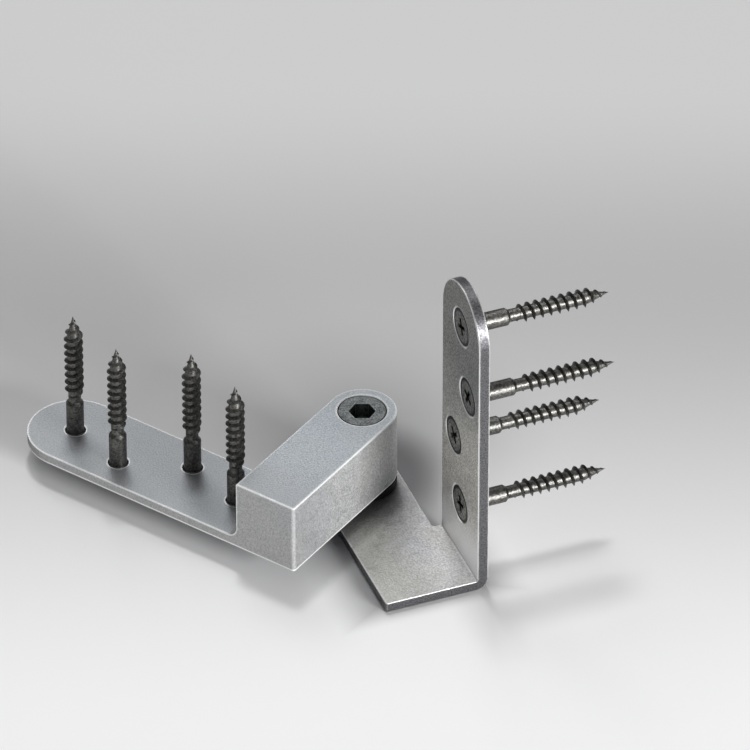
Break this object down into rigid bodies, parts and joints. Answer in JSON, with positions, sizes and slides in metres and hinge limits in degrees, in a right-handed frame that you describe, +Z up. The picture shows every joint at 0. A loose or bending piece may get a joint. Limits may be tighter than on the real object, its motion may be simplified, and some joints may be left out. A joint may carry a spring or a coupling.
{
  "type": "door pivot hinge",
  "caption": "Lower pivot of an offset-hung door: a folded jamb bracket with a pin, and a door arm that turns on it and is set for height by a socket screw.",
  "frame": {"origin": "the pivot axis at the underside of the bracket's foot", "axes": "+Z up along the pivot axis; +X into the jamb, out of the leaf's back; +Y towards the side that the door opens to"},
  "size_m": [0.1294, 0.1011, 0.0885],
  "materials": {
    "bracket_steel": "satin",
    "arm_steel": "satin",
    "screw_steel": "satin",
    "pin_steel": "satin",
    "washer_plastic": "matte",
    "ball_steel": "gloss",
    "socket_steel": "satin",
    "bush_brass": "satin"
  },
  "bodies": {
    "bracket": {"jamb_bracket": "bracket_steel", "jamb_screws": "screw_steel", "pivot_pin": "pin_steel", "spacer_washer": "washer_plastic"},
    "ball": {"bearing_ball": "ball_steel"},
    "arm": {"door_arm": "arm_steel", "pivot_bush": "bush_brass", "door_screws": "screw_steel"},
    "height_screw": {"height_screw": "socket_steel"}
  },
  "joints": [
    {"name": "door_swing", "type": "hinge", "parent": "bracket", "child": "ball", "pos_m": [0, 0, 0], "axis": [0, 0, -1], "range_deg": [-56, 124]},
    {"name": "arm_lift", "type": "slide", "parent": "ball", "child": "arm", "axis": [0, 0, 1], "range_m": [0, 0.003]},
    {"name": "height_screw_turn", "type": "hinge", "parent": "ball", "child": "height_screw", "pos_m": [0, 0, 0], "axis": [0, 0, -1], "range_deg": [0, 850.39]}
  ],
  "couplings": [
    {"joint": "height_screw_turn", "follows": "arm_lift", "rad_per_m": 4947.4}
  ]
}
